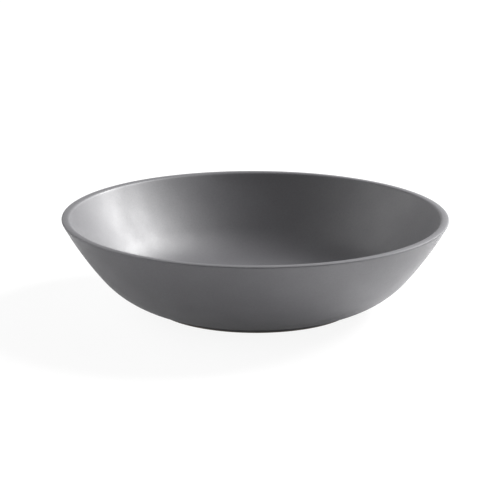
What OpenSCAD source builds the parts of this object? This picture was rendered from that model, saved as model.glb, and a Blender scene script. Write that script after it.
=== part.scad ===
// Shallow round serving bowl in glazed stoneware, standing on its own foot ring.
// The origin is at the centre of the resting face and +Z points up to the rim.
// The fired clay body carries three glaze coats: the liner inside, the coat outside,
// and the round island of glaze in the well under the floor. The resting face is bare.

/* [Bowl] */
// Outside diameter at the rim
rim_d = 220; // [212:1:236]
// Height from the resting face to the top of the rim
bowl_h = 52.5; // [50:0.5:57]
// Thickness of the wall, glaze included
wall_t = 4.2; // [4.2:0.1:5]

/* [Outside wall] */
// Slope of the outside where it leaves the foot ring, in degrees from level
foot_slope = 14.5; // [12:0.5:18]
// Slope of the outside where the belly ends and the flared wall begins
belly_slope = 50; // [49:0.5:52]
// Slope of the outside just below the rim
rim_slope = 61; // [60:0.5:64]

/* [Rim] */
// Radius of the gently domed top of the rim
rim_crown_r = 8; // [6:0.5:8]
// How steeply the domed top has fallen where it reaches the outer edge, in degrees from level
rim_crown_slope = 14; // [10:1:14]
// Radius of the rim's outer edge
rim_outer_r = 0.6; // [0.6:0.1:0.7]
// Radius of the rim's inner edge
rim_inner_r = 2.4; // [1.8:0.1:2.4]

/* [Floor] */
// Height of the inside floor at its centre
floor_z = 6.4; // [6:0.1:7.6]
// Slope of the inside at the edge of the gently dished floor
floor_slope = 4; // [2:0.5:6]

/* [Foot ring] */
// Outside diameter of the glazed foot ring, measured at the glaze line
foot_d = 117; // [110:1:120]
// Width of the flat resting face
foot_w = 4; // [3:0.1:6]
// Radius of the foot ring's bottom edges
foot_edge_r = 0.8; // [0.5:0.1:0.8]
// Radius of the fillet between the foot ring and the outside wall
foot_fillet_r = 1.2; // [0.8:0.1:1.6]
// How far the sides of the foot ring lean from upright, in degrees
foot_draft = 10; // [5:1:15]
// Depth of the well inside the foot ring
well_h = 2.4; // [2:0.1:3]

/* [Glaze] */
// Thickness of the glaze coats
glaze_t = 0.4; // [0.2:0.05:0.5]
// Height of the glaze line on the foot ring above the resting face
glaze_line_z = 0.9; // [0.8:0.1:1.1]

/* [Hidden] */

CLAY = [0.52, 0.49, 0.45];
LINER = [0.40, 0.40, 0.41];
OUTER = [0.37, 0.37, 0.38];
$fn = 180;

// Length of the foot ring's straight side between the glaze line and the fillet above it
foot_side_l = 0.3;
// Share of the well's height above the glaze line that its fillet takes
well_fillet_share = 0.8;
// Points of an outline that are closer together than this count as one
merge_gap = 0.001;

// An arc whose tangent turns from slope a to slope b about the centre c. The solid lies to
// the left of the direction of travel, so a negative radius gives a hollow curve, and taking
// glaze_t off the radius gives the same curve one coat further into the solid.
function arc(c, r, a, b, steps) = [for (i = [0:steps]) on_arc(c, r, a + (b - a) * i / steps)];
function on_arc(c, r, slope) = c + r * [sin(slope), -cos(slope)];
function arc_centre(p, r, slope) = p - r * [sin(slope), -cos(slope)];
function reverse(points) = [for (i = [len(points) - 1:-1:0]) points[i]];

// A closed outline from stretches that share their end points, each kept once.
function outline(points) = [
    for (i = [0:len(points) - 1])
        if (norm(points[(i + 1) % len(points)] - points[i]) > merge_gap) points[i]
];

// The two radii of the curve that leaves p at slope a, changes radius at slope m and
// reaches q at slope b.
function arc_pair(p, q, a, m, b) =
    let (
        low = [sin(m) - sin(a), cos(a) - cos(m)],
        high = [sin(b) - sin(m), cos(m) - cos(b)],
        span = q - p,
        scale = cross(low, high)
    )
    [cross(span, high) / scale, cross(low, span) / scale];

// Foot ring: its upright side, then the fillet that ends where the wall starts.
side_slope = 90 - foot_draft;
glaze_line = [foot_d / 2, glaze_line_z];
fillet_start = glaze_line + foot_side_l * [cos(side_slope), sin(side_slope)];
fillet_c = arc_centre(fillet_start, -foot_fillet_r, side_slope);
wall_start = on_arc(fillet_c, -foot_fillet_r, foot_slope);

// The point at those two distances from a and b, to the left of the way from a to b.
function meeting(a, reach_a, b, reach_b) =
    let (
        gap = norm(b - a),
        way = (b - a) / gap,
        along = (reach_a ^ 2 - reach_b ^ 2 + gap ^ 2) / (2 * gap),
        aside = sqrt(reach_a ^ 2 - along ^ 2)
    )
    a + along * way + aside * [-way[1], way[0]];

// The slope at which an arc round the centre c heads when it is on the side of p.
function slope_towards(c, p) = (atan2(p[0] - c[0], c[1] - p[1]) + 360) % 360;

// Rim: a domed top that runs into a tight outer edge. The outside wall ends on that edge.
crown_end = 180 - rim_crown_slope;
crown_to_edge = on_arc([0, 0], rim_crown_r - rim_outer_r, crown_end);
crown_c = [rim_d / 2 - rim_outer_r - crown_to_edge[0], bowl_h - rim_crown_r];
rim_outer_c = crown_c + crown_to_edge;
wall_end = on_arc(rim_outer_c, rim_outer_r, rim_slope);

// Outside wall: the belly and the flare are two arcs that share a tangent.
outside_r = arc_pair(wall_start, wall_end, foot_slope, belly_slope, rim_slope);
belly_r = outside_r[0];
flare_r = outside_r[1];
belly_c = arc_centre(wall_start, belly_r, foot_slope);
flare_c = arc_centre(wall_end, flare_r, rim_slope);

// Inside wall: parallel to the flare, then a tighter belly that runs out into the floor.
inner_flare_r = flare_r - wall_t;
rim_inner_c = meeting(flare_c, inner_flare_r + rim_inner_r, crown_c, rim_crown_r - rim_inner_r);
inner_rim_slope = slope_towards(flare_c, rim_inner_c);
crown_start = slope_towards(crown_c, rim_inner_c);
inner_join = on_arc(flare_c, inner_flare_r, belly_slope);
inside_r = arc_pair([0, floor_z], inner_join, 0, floor_slope, belly_slope);
floor_r = inside_r[0];
inner_belly_r = inside_r[1];
floor_c = [0, floor_z + floor_r];
inner_belly_c = arc_centre(inner_join, inner_belly_r, belly_slope);

// Underside: the resting face and the well inside the foot ring, all at clay level.
foot_side_x = glaze_line[0] - glaze_t / cos(foot_draft);
foot_outer_c = [
    foot_side_x - (glaze_line_z - foot_edge_r) * tan(foot_draft) - foot_edge_r / cos(foot_draft),
    foot_edge_r
];
foot_inner_c = foot_outer_c - [foot_w, 0];
well_side_x = foot_inner_c[0] - foot_edge_r / cos(foot_draft)
    - (glaze_line_z - foot_edge_r) * tan(foot_draft);
well_fillet_r = well_fillet_share * (well_h - glaze_line_z);
well_fillet_z = well_h - well_fillet_r;
well_fillet_c = [
    well_side_x - (well_fillet_z - glaze_line_z) * tan(foot_draft) - well_fillet_r / cos(foot_draft),
    well_fillet_z
];

// The inside surface from the centre of the floor up to the highest circle of the rim, where
// the coats meet. sink is how far the curve lies below the glazed surface.
function inside(sink) = concat(
    arc(floor_c, floor_r + sink, 0, floor_slope, 8),
    arc(inner_belly_c, inner_belly_r + sink, floor_slope, belly_slope, 20),
    arc(flare_c, inner_flare_r + sink, belly_slope, inner_rim_slope, 10),
    arc(rim_inner_c, rim_inner_r - sink, 180 + inner_rim_slope, crown_start, 10),
    arc(crown_c, rim_crown_r - sink, crown_start, 180, 6)
);

// The outside surface from the glaze line up to the highest circle of the rim.
function outside(sink) = concat(
    [[glaze_line[0] - sink / cos(foot_draft), glaze_line_z]],
    arc(fillet_c, -foot_fillet_r - sink, side_slope, foot_slope, 10),
    arc(belly_c, belly_r - sink, foot_slope, belly_slope, 18),
    arc(flare_c, flare_r - sink, belly_slope, rim_slope, 10),
    arc(rim_outer_c, rim_outer_r - sink, rim_slope, 90, 4),
    arc(rim_outer_c, rim_outer_r - sink, 90, crown_end, 6),
    arc(crown_c, rim_crown_r - sink, crown_end, 180, 4)
);

// The well's surface from its axis out and down to the glaze line.
function well(coat) = concat(
    [[0, well_h - coat]],
    arc(well_fillet_c, well_fillet_r - coat, 180, 90 + foot_draft, 8),
    [[well_side_x - coat / cos(foot_draft), glaze_line_z]]
);

// The bare foot ring, from the well's glaze line round to the outside one.
function resting_ring() = concat(
    arc(foot_inner_c, foot_edge_r, foot_draft - 90, 0, 8),
    arc(foot_outer_c, foot_edge_r, 0, side_slope, 8)
);

module stoneware_body() {
    color(CLAY)
    rotate_extrude()
    polygon(outline(concat(well(0), resting_ring(), outside(glaze_t), reverse(inside(glaze_t)))));
}

module liner_glaze() {
    color(LINER)
    rotate_extrude()
    polygon(outline(concat(inside(glaze_t), reverse(inside(0)))));
}

module outer_glaze() {
    color(OUTER)
    rotate_extrude()
    polygon(outline(concat(outside(0), reverse(outside(glaze_t)))));
}

module foot_well_glaze() {
    color(OUTER)
    rotate_extrude()
    polygon(outline(concat(well(glaze_t), reverse(well(0)))));
}

stoneware_body();
liner_glaze();
outer_glaze();
foot_well_glaze();
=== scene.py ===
"""A shallow stoneware bowl in satin dark grey glaze, on a plain white table under soft light.

Every piece is a solid of revolution about +Z. Outlines are worked out in millimetres, as
(radius, height), and turned into meshes in metres in the frame of the CAD model.
"""

import math

import bpy
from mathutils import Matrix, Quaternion, Vector, noise


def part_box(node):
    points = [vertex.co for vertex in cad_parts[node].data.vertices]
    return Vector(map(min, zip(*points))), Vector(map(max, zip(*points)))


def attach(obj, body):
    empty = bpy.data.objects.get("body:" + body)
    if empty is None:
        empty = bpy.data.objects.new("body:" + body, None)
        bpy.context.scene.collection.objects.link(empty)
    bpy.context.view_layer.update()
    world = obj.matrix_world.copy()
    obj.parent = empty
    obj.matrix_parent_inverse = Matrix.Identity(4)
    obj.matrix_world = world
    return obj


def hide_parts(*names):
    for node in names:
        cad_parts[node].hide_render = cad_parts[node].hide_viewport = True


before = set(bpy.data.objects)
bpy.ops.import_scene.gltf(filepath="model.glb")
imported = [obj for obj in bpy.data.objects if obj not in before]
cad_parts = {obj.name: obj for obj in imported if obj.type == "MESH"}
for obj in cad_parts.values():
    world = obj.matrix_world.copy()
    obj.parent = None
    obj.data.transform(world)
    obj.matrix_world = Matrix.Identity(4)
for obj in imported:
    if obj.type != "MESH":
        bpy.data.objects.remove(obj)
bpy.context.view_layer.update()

MM = 0.001

# Slopes of the wall in degrees from level, and sizes in millimetres that no box gives.
FOOT_SLOPE = 14.5
BELLY_SLOPE = 50
RIM_SLOPE = 61
FLOOR_SLOPE = 4
FOOT_DRAFT = 10
UPRIGHT = 90 - FOOT_DRAFT
WALL = 4.2
RIM_OUTER_R = 0.6
RIM_INNER_R = 2.4
CROWN_R = 8.0
CROWN_SLOPE = 14
FOOT_RADIUS = 58.5
FOOT_EDGE_R = 0.8
FOOT_FILLET_R = 1.2
FOOT_SIDE = 0.3
RESTING_WIDTH = 4.0
WELL_FILLET_SHARE = 0.8

# How finely the outlines are turned and divided. Faces that no one sees take fewer steps.
SEGMENTS = 288
HIDDEN_DETAIL = 0.4
FLOOR_STEPS = 32
BELLY_STEPS = 28
FLARE_STEPS = 24
RIM_EDGE_STEPS = 14
CROWN_STEPS = 6
FOOT_SIDE_STEPS = 6
FOOT_FILLET_STEPS = 14
FOOT_EDGE_STEPS = 10
RESTING_STEPS = 16
WELL_STEPS = 40
WELL_FILLET_STEPS = 10
WELL_SIDE_STEPS = 6
SHARP_ANGLE = 40

# How the glaze and the clay stray from the outlines, in millimetres.
RIPPLE = 0.05
RIPPLE_BROAD = 34
RIPPLE_FINE = 11
GLAZE_LINE_STRAY = 0.2
GLAZE_EDGE = 0.5
GLAZE_BEAD = 0.2
GLAZE_LINE_REACH = 1.2
# Reach of the mask on the rim's outer edge, which paints a highlight there and makes the glaze drier.
RIM_HIGHLIGHT_AND_DRYNESS_REACH = 0.9
TURNING_PITCH = 1.1
TURNING_DEPTH = 0.03
TURNING_WAVER = 20
SPIRAL_PITCH = 4.2
SPIRAL_DEPTH = 0.03
SPIRAL_FADE = 8

# Finish, light and view.
GLAZE_GREY = 0.1
GLAZE_TINT = (1.012, 1, 1.068)
GLAZE_ROUGHNESS = 0.5
GLAZE_IOR = 1.5
EDGE_DRYNESS = 0.2
TABLE_WHITE = 0.86
TABLE_WHITE_SEEN = 0.12
TABLE_GLOW = 0.18
TABLE_GLOW_SEEN = 0.9
TABLE_HALF = 6
LIGHT_DISTANCE = 1.2
CAMERA_DISTANCE = 1.5
CAMERA_ELEVATION = 15.19
CAMERA_LENS = 189.16
CAMERA_ROLL = 0.156
CAMERA_AIM = Vector((-0.0029, 0, 0.032))
CAMERA_REACH = 100


# ------------------------------------------------------------------ outlines


def on_arc(centre, radius, slope):
    """The point of an arc where the line that travels along it has that slope."""
    turn = math.radians(slope)
    return centre + radius * Vector((math.sin(turn), -math.cos(turn)))


def arc_centre(point, radius, slope):
    return point - on_arc(Vector((0, 0)), radius, slope)


def arc(centre, radius, start, end, steps):
    steps = max(2, round(steps))
    return [on_arc(centre, radius, start + (end - start) * i / steps) for i in range(steps + 1)]


def line(start, end, steps):
    steps = max(1, round(steps))
    return [start.lerp(end, i / steps) for i in range(steps + 1)]


def joined(*stretches):
    """One run of points from stretches that share their ends."""
    points = [stretches[0][0]]
    for stretch in stretches:
        points += [p for p in stretch if (p - points[-1]).length > 1e-4]
    return points


def cross(a, b):
    return a.x * b.y - a.y * b.x


def arc_pair(start, end, first, middle, last):
    """Radii of the curve that leaves start at one slope, changes at middle and reaches end."""
    a, m, b = (math.radians(slope) for slope in (first, middle, last))
    low = Vector((math.sin(m) - math.sin(a), math.cos(a) - math.cos(m)))
    high = Vector((math.sin(b) - math.sin(m), math.cos(m) - math.cos(b)))
    span = end - start
    return cross(span, high) / cross(low, high), cross(low, span) / cross(low, high)


def meeting(a, reach_a, b, reach_b):
    """The point at those two distances from a and b, to the left of the way from a to b."""
    way = b - a
    gap = way.length
    way.normalize()
    along = (reach_a**2 - reach_b**2 + gap**2) / (2 * gap)
    aside = math.sqrt(reach_a**2 - along**2)
    return a + along * way + aside * Vector((-way.y, way.x))


def slope_towards(centre, point):
    """The slope at which an arc round centre heads when it is on the side of point."""
    way = point - centre
    return math.degrees(math.atan2(way.x, -way.y)) % 360


class Bowl:
    """The bowl's curves, from the CAD nodes' boxes and the slopes and sizes above.

    sink is how far a curve lies under the glazed surface, and detail scales its points.
    """

    def __init__(self):
        low, high = {}, {}
        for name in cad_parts:
            low[name], high[name] = (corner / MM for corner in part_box(name))
        self.top = high["outer_glaze"].z
        self.radius = high["outer_glaze"].x
        self.glaze = self.top - high["stoneware_body"].z
        self.glaze_line = low["outer_glaze"].z
        self.floor = low["liner_glaze"].z + self.glaze
        self.well_top = high["foot_well_glaze"].z
        self.lean = math.tan(math.radians(FOOT_DRAFT))
        self.across = 1 / math.cos(math.radians(FOOT_DRAFT))
        self.set_outside()
        self.set_inside()
        self.set_foot()

    def set_outside(self):
        self.side_foot = Vector((FOOT_RADIUS, self.glaze_line))
        fillet_start = self.side_foot + FOOT_SIDE * Vector((self.lean, 1))
        self.fillet = arc_centre(fillet_start, -FOOT_FILLET_R, UPRIGHT)
        wall_start = on_arc(self.fillet, -FOOT_FILLET_R, FOOT_SLOPE)
        self.crown_end = 180 - CROWN_SLOPE
        to_edge = on_arc(Vector((0, 0)), CROWN_R - RIM_OUTER_R, self.crown_end)
        edge_x = self.radius - RIM_OUTER_R
        self.crown = Vector((edge_x - to_edge.x, self.top - CROWN_R))
        self.rim_outer = self.crown + to_edge
        wall_end = on_arc(self.rim_outer, RIM_OUTER_R, RIM_SLOPE)
        radii = arc_pair(wall_start, wall_end, FOOT_SLOPE, BELLY_SLOPE, RIM_SLOPE)
        self.belly_r, self.flare_r = radii
        self.belly = arc_centre(wall_start, self.belly_r, FOOT_SLOPE)
        self.flare = arc_centre(wall_end, self.flare_r, RIM_SLOPE)

    def set_inside(self):
        self.inner_flare_r = self.flare_r - WALL
        reach = self.inner_flare_r + RIM_INNER_R
        self.rim_inner = meeting(self.flare, reach, self.crown, CROWN_R - RIM_INNER_R)
        self.inner_rim_slope = slope_towards(self.flare, self.rim_inner)
        self.crown_start = slope_towards(self.crown, self.rim_inner)
        join = on_arc(self.flare, self.inner_flare_r, BELLY_SLOPE)
        radii = arc_pair(Vector((0, self.floor)), join, 0, FLOOR_SLOPE, BELLY_SLOPE)
        self.floor_r, self.inner_belly_r = radii
        self.floor_centre = Vector((0, self.floor + self.floor_r))
        self.inner_belly = arc_centre(join, self.inner_belly_r, BELLY_SLOPE)

    def set_foot(self):
        above_edge = self.glaze_line - FOOT_EDGE_R
        reach = above_edge * self.lean + FOOT_EDGE_R * self.across
        side = FOOT_RADIUS - self.glaze * self.across
        self.foot_outer = Vector((side - reach, FOOT_EDGE_R))
        self.foot_inner = self.foot_outer - Vector((RESTING_WIDTH, 0))
        self.well_side = self.foot_inner.x - reach
        self.well_fillet_r = WELL_FILLET_SHARE * (self.well_top - self.glaze_line)
        height = self.well_top - self.well_fillet_r
        reach = (height - self.glaze_line) * self.lean + self.well_fillet_r * self.across
        self.well_fillet = Vector((self.well_side - reach, height))

    def inside(self, sink, detail=1.0):
        """From the centre of the floor up to the top of the rim."""
        floor_r, belly_r, flare_r = (
            r + sink for r in (self.floor_r, self.inner_belly_r, self.inner_flare_r)
        )
        slope, start = self.inner_rim_slope, self.crown_start
        return joined(
            arc(self.floor_centre, floor_r, 0, FLOOR_SLOPE, FLOOR_STEPS * detail),
            arc(self.inner_belly, belly_r, FLOOR_SLOPE, BELLY_SLOPE, BELLY_STEPS * detail),
            arc(self.flare, flare_r, BELLY_SLOPE, slope, FLARE_STEPS * detail),
            arc(self.rim_inner, RIM_INNER_R - sink, 180 + slope, start, RIM_EDGE_STEPS * detail),
            arc(self.crown, CROWN_R - sink, start, 180, CROWN_STEPS * detail),
        )

    def outside(self, sink, detail=1.0):
        """From the glaze line up the outside wall to the top of the rim."""
        foot = self.side_foot - Vector((sink * self.across, 0))
        fillet_r = -FOOT_FILLET_R - sink
        belly_r, flare_r = self.belly_r - sink, self.flare_r - sink
        edge_r, crown_r, end = RIM_OUTER_R - sink, CROWN_R - sink, self.crown_end
        return joined(
            line(foot, on_arc(self.fillet, fillet_r, UPRIGHT), FOOT_SIDE_STEPS * detail),
            arc(self.fillet, fillet_r, UPRIGHT, FOOT_SLOPE, FOOT_FILLET_STEPS * detail),
            arc(self.belly, belly_r, FOOT_SLOPE, BELLY_SLOPE, BELLY_STEPS * detail),
            arc(self.flare, flare_r, BELLY_SLOPE, RIM_SLOPE, FLARE_STEPS * detail),
            arc(self.rim_outer, edge_r, RIM_SLOPE, end, RIM_EDGE_STEPS * detail),
            arc(self.crown, crown_r, end, 180, CROWN_STEPS * detail),
        )

    def well(self, coat, detail=1.0):
        """From the centre of the well out and down to the glaze line, coat below the clay."""
        radius, steps = self.well_fillet_r - coat, WELL_FILLET_STEPS * detail
        curve = arc(self.well_fillet, radius, 180, 180 - UPRIGHT, steps)
        side = Vector((self.well_side - coat * self.across, self.glaze_line))
        return joined(
            line(Vector((0, self.well_top - coat)), curve[0], WELL_STEPS * detail),
            curve,
            line(curve[-1], side, WELL_SIDE_STEPS * detail),
        )

    def resting_ring(self):
        """The bare clay from the well's glaze line, under the foot, to the outside one."""
        inner = arc(self.foot_inner, FOOT_EDGE_R, -UPRIGHT, 0, FOOT_EDGE_STEPS)
        outer = arc(self.foot_outer, FOOT_EDGE_R, 0, UPRIGHT, FOOT_EDGE_STEPS)
        return joined(inner, line(inner[-1], outer[0], RESTING_STEPS), outer)


# -------------------------------------------------------------------- meshes


def normals(points):
    """Unit normals of a run of points, to the right of the direction of travel."""
    found = []
    for i in range(len(points)):
        along = points[min(i + 1, len(points) - 1)] - points[max(i - 1, 0)]
        along.normalize()
        found.append(Vector((along.y, -along.x)))
    return found


def shown(points):
    """Outline entries that the relief moves, each a point and the way out of the solid."""
    return list(zip(points, normals(points)))


def hidden(points):
    """Outline entries that stay where they are, against the piece behind."""
    return [(point, Vector((0, 0))) for point in points]


def turned(point, angle):
    return Vector((point.x * math.cos(angle), point.x * math.sin(angle), point.y))


def lathe(name, outline, relief, slide=None):
    """Turns an outline about +Z. relief(point, spot) is how far a shown point stands proud,
    and slide(point, angle) how far any point moves, as a vector, both in millimetres."""
    vertices, rings = [], []
    for point, way_out in outline:
        first = len(vertices)
        if point.x < 1e-6:
            vertices.append(turned(point, 0) * MM)
            rings.append([first] * SEGMENTS)
            continue
        for k in range(SEGMENTS):
            angle = 2 * math.pi * k / SEGMENTS
            moved = point.copy()
            if way_out.length:
                moved += way_out * relief(point, turned(point, angle))
            if slide:
                moved += slide(point, angle)
            vertices.append(turned(moved, angle) * MM)
        rings.append(range(first, first + SEGMENTS))
    pairs = list(zip(rings, rings[1:]))
    if outline[0][0].x > 1e-6:
        pairs.append((rings[-1], rings[0]))
    faces = []
    for low, high in pairs:
        for k in range(SEGMENTS):
            n = (k + 1) % SEGMENTS
            faces.append(tuple(dict.fromkeys((low[k], low[n], high[n], high[k]))))
    return mesh_piece(name, vertices, faces)


def mesh_piece(name, vertices, faces):
    mesh = bpy.data.meshes.new(name)
    mesh.from_pydata(vertices, [], faces)
    mesh.polygons.foreach_set("use_smooth", [True] * len(mesh.polygons))
    mesh.set_sharp_from_angle(angle=math.radians(SHARP_ANGLE))
    piece = bpy.data.objects.new(name, mesh)
    bpy.context.scene.collection.objects.link(piece)
    return piece


def mark_rim_highlight_and_dryness(piece, bowl):
    """Stores a mask from 0 to 1 on the rim's outer edge, for the glaze's painted highlight and drier
    finish there.
    """
    share = piece.data.attributes.new("rim_highlight_and_dryness", "FLOAT", "POINT")
    edge = on_arc(bowl.rim_outer, RIM_OUTER_R, (RIM_SLOPE + bowl.crown_end) / 2)
    for i, vertex in enumerate(piece.data.vertices):
        spot = Vector((math.hypot(vertex.co.x, vertex.co.y), vertex.co.z)) / MM
        share.data[i].value = math.exp(-(((spot - edge).length / RIM_HIGHLIGHT_AND_DRYNESS_REACH) ** 2))


# --------------------------------------------------------------------- relief


def ripple(point, spot):
    """The slight unevenness of a glazed wall."""
    broad = noise.noise(spot / RIPPLE_BROAD)
    fine = noise.noise(spot / RIPPLE_FINE + Vector((5, 3, 1)))
    return RIPPLE * (broad + 0.3 * fine)


def turning_marks(point, spot):
    """The rings left by fettling the foot. They are cut in, so none reaches under the foot."""
    wave = math.sin(2 * math.pi * point.x / TURNING_PITCH + noise.noise(spot / TURNING_WAVER))
    return -TURNING_DEPTH * (1 + wave) / 2


def well_spiral(point, spot):
    """The shallow spiral of the profile tool in the well, fading out at its centre."""
    angle = math.atan2(spot.y, spot.x)
    wave = math.sin(2 * math.pi * point.x / SPIRAL_PITCH - angle)
    return ripple(point, spot) + SPIRAL_DEPTH * wave * min(1, point.x / SPIRAL_FADE)


def coated(clay, glazed, glaze_line):
    """The surface of a coat that swells into a soft bead and ends, rounded, on the glaze line."""
    surface = []
    for bare, covered in zip(clay, glazed):
        travelled = (bare - glaze_line).length / GLAZE_EDGE
        left = max(0.0, 1 - travelled)
        bead = GLAZE_BEAD * (1 - left) * math.exp(-((travelled - 1) ** 2))
        surface.append(bare + (covered - bare) * (math.sqrt(1 - left * left) + bead))
    return surface


def stray(bowl, outward):
    """Moves a glaze line a little up and down the foot, as a wiped edge wanders. outward is
    which way the foot leans there as it rises, 1 or -1."""

    def slide(point, angle):
        near = max(0.0, 1 - abs(point.y - bowl.glaze_line) / GLAZE_LINE_REACH)
        around = 4 * Vector((math.cos(angle), math.sin(angle), outward))
        rise = GLAZE_LINE_STRAY * (noise.noise(around) + 0.4 * noise.noise(3 * around))
        return near * rise * Vector((outward * bowl.lean, 1))

    return slide


# --------------------------------------------------------------------- pieces


def stoneware_body(bowl):
    outline = (
        hidden(bowl.well(0, HIDDEN_DETAIL))
        + shown(bowl.resting_ring())
        + hidden(bowl.outside(bowl.glaze, HIDDEN_DETAIL))
        + hidden(bowl.inside(bowl.glaze, HIDDEN_DETAIL)[-2::-1])
    )
    return lathe("stoneware_body_fired", outline, turning_marks)


def liner_glaze(bowl):
    outline = hidden(bowl.inside(bowl.glaze, HIDDEN_DETAIL)) + shown(bowl.inside(0)[::-1])
    return lathe("liner_glaze_coat", outline, ripple)


def outer_glaze(bowl):
    clay = bowl.outside(bowl.glaze)
    surface = coated(clay, bowl.outside(0), clay[0])
    outline = shown(surface) + hidden(clay[:0:-1])
    return lathe("outer_glaze_coat", outline, ripple, stray(bowl, 1))


def foot_well_glaze(bowl):
    clay = bowl.well(0)
    surface = coated(clay, bowl.well(bowl.glaze), clay[-1])
    outline = shown(surface) + hidden(clay[-2::-1])
    return lathe("foot_well_glaze_coat", outline, well_spiral, stray(bowl, -1))


# ------------------------------------------------------------------ materials


class Nodes:
    """Short names for adding linked nodes to one material."""

    def __init__(self, name):
        self.material = bpy.data.materials.new(name)
        self.material.use_nodes = True
        self.tree = self.material.node_tree
        self.shader = self.tree.nodes["Principled BSDF"]
        self.place = self.add("ShaderNodeTexCoord").outputs["Object"]

    def add(self, kind, **inputs):
        node = self.tree.nodes.new(kind)
        for name, value in inputs.items():
            self.put(node.inputs[name.replace("_", " ")], value)
        return node

    def put(self, socket, value):
        if isinstance(value, bpy.types.NodeSocket):
            self.tree.links.new(value, socket)
        else:
            socket.default_value = value

    def set(self, name, value):
        self.put(self.shader.inputs[name], value)

    def noise(self, size_mm, detail=2.0, roughness=0.5):
        """Noise whose features are about that many millimetres across, as a value about 0.5."""
        node = self.add("ShaderNodeTexNoise", Vector=self.place, Scale=1 / (size_mm * MM))
        self.put(node.inputs["Detail"], detail)
        self.put(node.inputs["Roughness"], roughness)
        return node.outputs[0]

    def span(self, value, start, end, low, high):
        """value remapped from start..end to low..high, and held there outside them."""
        node = self.add("ShaderNodeMapRange", Value=value)
        for name, number in zip(("From Min", "From Max", "To Min", "To Max"), (start, end, low, high)):
            self.put(node.inputs[name], number)
        return node.outputs["Result"]

    def math(self, operation, a, b):
        node = self.tree.nodes.new("ShaderNodeMath")
        node.operation = operation
        self.put(node.inputs[0], a)
        self.put(node.inputs[1], b)
        return node.outputs[0]

    def blend(self, share, a, b, blend_type="MIX"):
        node = self.tree.nodes.new("ShaderNodeMix")
        node.data_type = "RGBA"
        node.blend_type = blend_type
        self.put(node.inputs[0], share)
        self.put(node.inputs[6], a)
        self.put(node.inputs[7], b)
        return node.outputs[2]

    def bump(self, height, depth_mm, strength, onto=None):
        node = self.add("ShaderNodeBump", Height=height, Strength=strength, Distance=depth_mm * MM)
        if onto:
            self.put(node.inputs["Normal"], onto)
        return node.outputs["Normal"]


def grey(level, tint=(1, 1, 1)):
    return tuple(level * part for part in tint) + (1,)


def satin_glaze():
    """Dense dark grey glaze with a dry satin skin."""
    n = Nodes("satin_glaze")
    clouds = n.span(n.noise(28, 3), 0.3, 0.7, 0, 1)
    dark, light = grey(GLAZE_GREY * 0.96, GLAZE_TINT), grey(GLAZE_GREY * 1.04, GLAZE_TINT)
    colour = n.blend(clouds, dark, light)
    mottle = n.span(n.noise(1.1, 2), 0.3, 0.7, 0.95, 1.05)
    colour = n.blend(1.0, colour, mottle, "MULTIPLY")
    specks = n.span(n.noise(0.45, 0), 0.76, 0.84, 0, 0.5)
    colour = n.blend(specks, colour, grey(GLAZE_GREY * 0.45))
    # Painted highlight: the rim's outer edge is coloured a lighter grey. The same mask also makes the
    # edge rougher and drier.
    highlight_and_dryness = n.add("ShaderNodeAttribute")
    highlight_and_dryness.attribute_name = "rim_highlight_and_dryness"
    share = n.math("MULTIPLY", highlight_and_dryness.outputs["Fac"], 0.1)
    colour = n.blend(share, colour, grey(GLAZE_GREY * 1.6, GLAZE_TINT))
    n.set("Base Color", colour)
    patches = n.span(n.noise(16, 2), 0.3, 0.7, GLAZE_ROUGHNESS - 0.03, GLAZE_ROUGHNESS + 0.03)
    grain = n.span(n.noise(0.6, 1), 0.3, 0.7, -0.03, 0.03)
    dry = n.span(highlight_and_dryness.outputs["Fac"], 0.3, 0.8, 0, EDGE_DRYNESS)
    n.set("Roughness", n.math("ADD", n.math("ADD", patches, grain), dry))
    n.set("IOR", GLAZE_IOR)
    soft = n.bump(n.noise(6, 1), 0.05, 0.5)
    n.set("Normal", n.bump(n.noise(0.5, 2), 0.01, 0.5, soft))
    return n.material


def fired_clay():
    """Bare stoneware: warm grey, dry and sandy, with grog and the rings of the fettling tool."""
    n = Nodes("fired_clay")
    tone = n.span(n.noise(9, 3), 0.3, 0.7, 0, 1)
    colour = n.blend(tone, (0.20, 0.172, 0.145, 1), (0.27, 0.237, 0.203, 1))
    grog = n.span(n.noise(0.5, 1), 0.66, 0.74, 0, 0.8)
    colour = n.blend(grog, colour, (0.09, 0.075, 0.062, 1))
    pale = n.span(n.noise(0.8, 1), 0.27, 0.21, 0, 0.7)
    colour = n.blend(pale, colour, (0.42, 0.39, 0.35, 1))
    n.set("Base Color", colour)
    n.set("Roughness", n.span(n.noise(1.5, 2), 0.3, 0.7, 0.82, 0.92))
    grit = n.bump(n.noise(0.35, 3, 0.7), 0.05, 0.8)
    n.set("Normal", n.bump(n.noise(2.5, 2), 0.06, 0.5, grit))
    return n.material


def white_table():
    """White board that lights the bowl as it should, and that the camera sees just at white."""
    n = Nodes("white_table")
    seen = n.add("ShaderNodeLightPath").outputs["Is Camera Ray"]
    n.set("Base Color", n.span(seen, 0, 1, TABLE_WHITE, TABLE_WHITE_SEEN))
    n.set("Roughness", 0.9)
    n.set("Specular IOR Level", 0.0)
    n.set("Emission Color", grey(1.0))
    n.set("Emission Strength", n.span(seen, 0, 1, TABLE_GLOW, TABLE_GLOW_SEEN))
    return n.material


# ---------------------------------------------------------------------- scene


def paint(piece, material):
    piece.data.materials.append(material)


def add_pieces():
    bowl = Bowl()
    glaze = satin_glaze()
    clay = fired_clay()
    made = (
        (stoneware_body(bowl), clay, "stoneware_body", "bare_stoneware"),
        (liner_glaze(bowl), glaze, "liner_glaze", "liner_glaze"),
        (outer_glaze(bowl), glaze, "outer_glaze", "outer_glaze"),
        (foot_well_glaze(bowl), glaze, "foot_well_glaze", "outer_glaze"),
    )
    for piece, material, node, slot in made:
        mark_rim_highlight_and_dryness(piece, bowl)
        paint(piece, material)
        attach(piece, "root")
        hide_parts(node)


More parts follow.
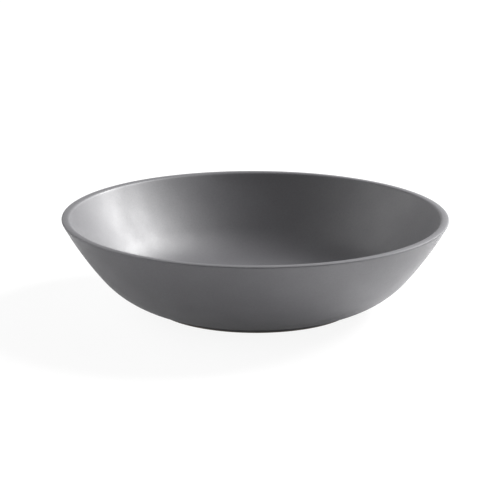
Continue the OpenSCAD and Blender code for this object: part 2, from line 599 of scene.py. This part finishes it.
def add_table():
    half = TABLE_HALF
    corners = [(-half, -half, 0), (half, -half, 0), (half, half, 0), (-half, half, 0)]
    table = mesh_piece("table", corners, [(0, 1, 2, 3)])
    paint(table, white_table())


def aimed(thing, back, roll=0):
    """Turns a lamp or camera to look against back, rolled by some degrees about its axis."""
    thing.rotation_mode = "QUATERNION"
    level = (-back).to_track_quat("-Z", "Y")
    thing.rotation_quaternion = level @ Quaternion((0, 0, 1), math.radians(roll))


def from_angles(azimuth, elevation):
    """The unit vector at that azimuth from +X towards +Y and that height above the horizon."""
    a, e = math.radians(azimuth), math.radians(elevation)
    return Vector((math.cos(a) * math.cos(e), math.sin(a) * math.cos(e), math.sin(e)))


def add_light(name, azimuth, elevation, size, power):
    data = bpy.data.lights.new(name, "AREA")
    data.shape = "DISK"
    data.size = size
    data.energy = power
    lamp = bpy.data.objects.new(name, data)
    bpy.context.scene.collection.objects.link(lamp)
    direction = from_angles(azimuth, elevation)
    lamp.location = direction * LIGHT_DISTANCE
    aimed(lamp, direction)
    lamp.visible_camera = False


def add_lights():
    """A soft key from the right and behind, and weak large panels for the white surroundings."""
    add_light("key", 32, 38, 0.6, 36.7)
    add_light("right_panel", 8, 14, 1.6, 12.6)
    add_light("back_panel", 90, 12, 1.4, 4.5)
    add_light("left_panel", 165, 24, 1.4, 12.5)
    add_light("front_panel", 225, 35, 1.2, 2.2)


def add_world():
    """White surroundings that the camera sees and that give no light of their own."""
    world = bpy.data.worlds.new("studio")
    world.use_nodes = True
    background = world.node_tree.nodes["Background"]
    background.inputs["Color"].default_value = grey(1.0)
    path = world.node_tree.nodes.new("ShaderNodeLightPath")
    world.node_tree.links.new(path.outputs["Is Camera Ray"], background.inputs["Strength"])
    bpy.context.scene.world = world


def add_camera():
    data = bpy.data.cameras.new("camera")
    data.lens = CAMERA_LENS
    data.clip_end = CAMERA_REACH
    camera = bpy.data.objects.new("camera", data)
    bpy.context.scene.collection.objects.link(camera)
    back = from_angles(-90, CAMERA_ELEVATION)
    camera.location = CAMERA_AIM + back * CAMERA_DISTANCE
    aimed(camera, back, CAMERA_ROLL)
    bpy.context.scene.camera = camera


add_pieces()
add_table()
add_camera()
add_lights()
add_world()
bpy.context.scene.view_settings.view_transform = "Standard"
